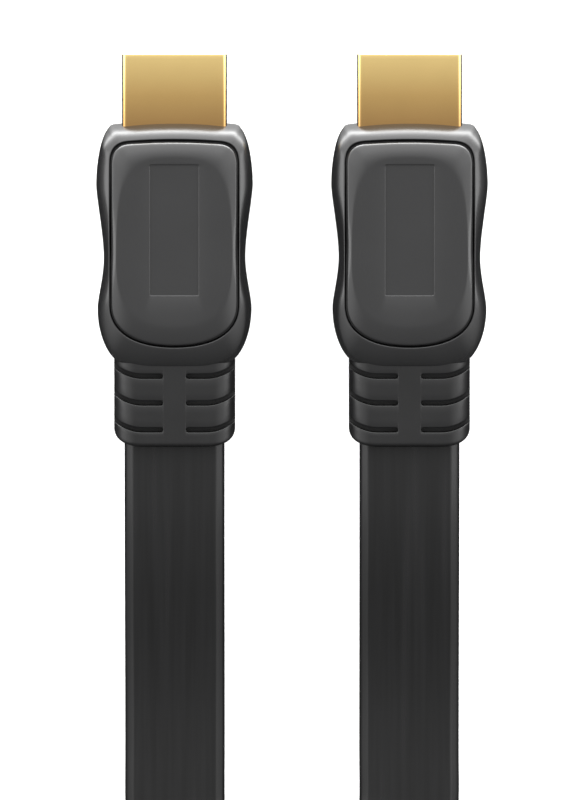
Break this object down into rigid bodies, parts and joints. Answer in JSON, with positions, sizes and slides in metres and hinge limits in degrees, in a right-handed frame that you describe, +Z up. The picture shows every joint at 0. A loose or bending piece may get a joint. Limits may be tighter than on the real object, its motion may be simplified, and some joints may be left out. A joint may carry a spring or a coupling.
{
  "type": "hdmi cable",
  "caption": "Flat black video cable with a gold-plated plug on each end, the plugs side by side and the slack wound into a strapped coil.",
  "frame": {"origin": "on the floor under the middle of the pair of plugs", "axes": "+Y towards the tips of both plugs, +X to the right seen from above, +Z up"},
  "size_m": [0.1635, 0.2426, 0.0166],
  "materials": {
    "gold_shell": "gold-plated stamped sheet, satin",
    "gold_contact": "gold-plated spring contacts",
    "insulator_plastic": "moulded black plastic",
    "housing_plastic": "satin moulded black plastic",
    "panel_plastic": "satin moulded black plastic",
    "relief_rubber": "soft black moulding",
    "cable_jacket": "satin extruded black jacket with faint lengthwise lines",
    "strap_fabric": "woven hook and loop strap"
  },
  "bodies": {
    "root": {"plug_a_shell": "gold_shell", "plug_a_insulator": "insulator_plastic", "plug_a_housing": "housing_plastic", "plug_a_top_panel": "panel_plastic", "plug_a_under_panel": "panel_plastic", "plug_a_strain_relief": "relief_rubber", "plug_a_contact_01": "gold_contact", "plug_a_contact_02": "gold_contact", "plug_a_contact_03": "gold_contact", "plug_a_contact_04": "gold_contact", "plug_a_contact_05": "gold_contact", "plug_a_contact_06": "gold_contact", "plug_a_contact_07": "gold_contact", "plug_a_contact_08": "gold_contact", "plug_a_contact_09": "gold_contact", "plug_a_contact_10": "gold_contact", "plug_a_contact_11": "gold_contact", "plug_a_contact_12": "gold_contact", "plug_a_contact_13": "gold_contact", "plug_a_contact_14": "gold_contact", "plug_a_contact_15": "gold_contact", "plug_a_contact_16": "gold_contact", "plug_a_contact_17": "gold_contact", "plug_a_contact_18": "gold_contact", "plug_a_contact_19": "gold_contact", "plug_b_shell": "gold_shell", "plug_b_insulator": "insulator_plastic", "plug_b_housing": "housing_plastic", "plug_b_top_panel": "panel_plastic", "plug_b_under_panel": "panel_plastic", "plug_b_strain_relief": "relief_rubber", "plug_b_contact_01": "gold_contact", "plug_b_contact_02": "gold_contact", "plug_b_contact_03": "gold_contact", "plug_b_contact_04": "gold_contact", "plug_b_contact_05": "gold_contact", "plug_b_contact_06": "gold_contact", "plug_b_contact_07": "gold_contact", "plug_b_contact_08": "gold_contact", "plug_b_contact_09": "gold_contact", "plug_b_contact_10": "gold_contact", "plug_b_contact_11": "gold_contact", "plug_b_contact_12": "gold_contact", "plug_b_contact_13": "gold_contact", "plug_b_contact_14": "gold_contact", "plug_b_contact_15": "gold_contact", "plug_b_contact_16": "gold_contact", "plug_b_contact_17": "gold_contact", "plug_b_contact_18": "gold_contact", "plug_b_contact_19": "gold_contact", "cable_lead_a": "cable_jacket", "cable_lead_b": "cable_jacket", "cable_fold": "cable_jacket", "cable_coil": "cable_jacket", "coil_strap": "strap_fabric"}
  },
  "joints": []
}
